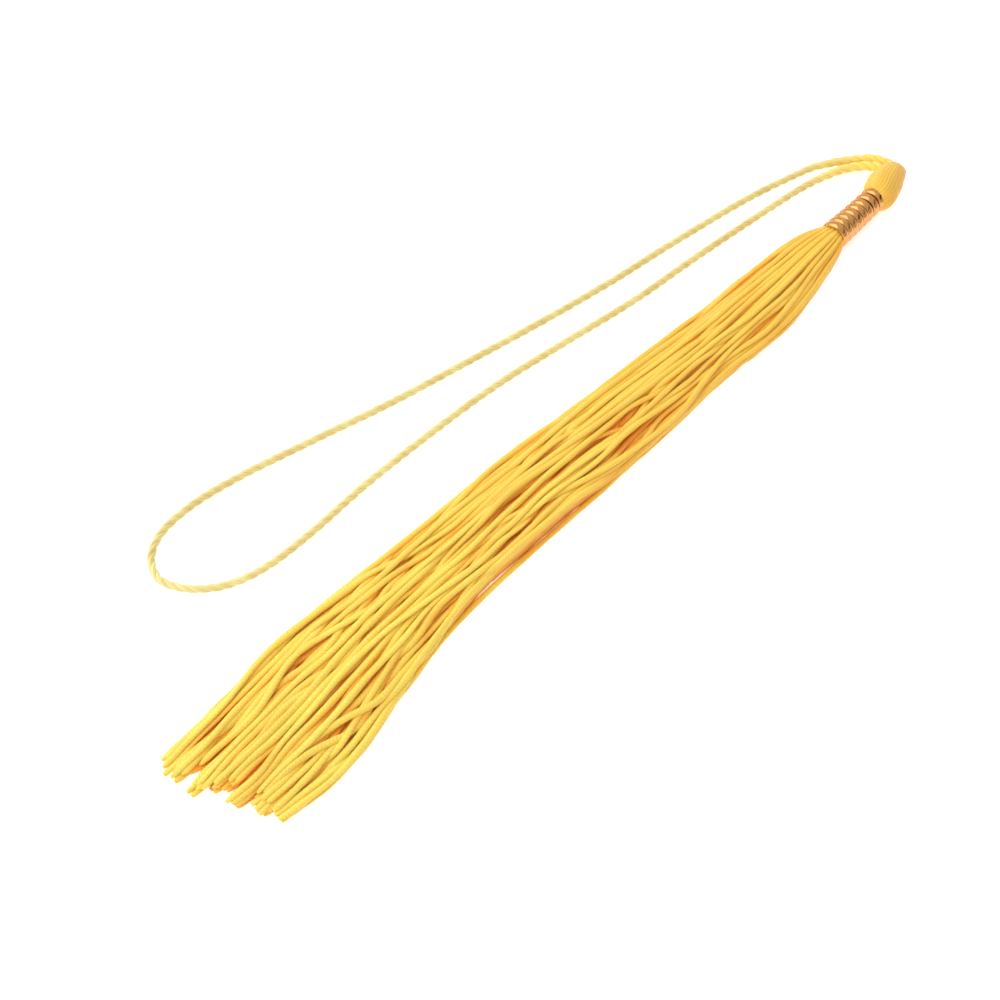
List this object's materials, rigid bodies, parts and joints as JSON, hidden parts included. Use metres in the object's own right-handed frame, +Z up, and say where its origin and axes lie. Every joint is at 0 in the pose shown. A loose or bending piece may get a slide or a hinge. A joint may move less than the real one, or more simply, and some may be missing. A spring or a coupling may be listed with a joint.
{
  "type": "graduation tassel",
  "caption": "Graduation tassel lying flat: yellow satin yarn with a rounded head, a neck bound in copper-gold wire, a long loose skirt with uneven cut ends and a doubled hanging cord.",
  "frame": {"origin": "middle of the head's flat underside, on the surface the tassel lies on", "axes": "+X along the tassel towards the head's tip, +Z up, +Y towards the hanging cord's side"},
  "size_m": [0.2283, 0.0694, 0.0085],
  "materials": {
    "yarn": "satin yellow rayon strands with a soft sheen",
    "winding": "bright copper-gold wire",
    "cord": "pale yellow twisted cord with a soft sheen"
  },
  "bodies": {
    "root": {"yarn_hank": "yarn", "neck_winding": "winding", "hanging_cord": "cord"}
  },
  "joints": []
}
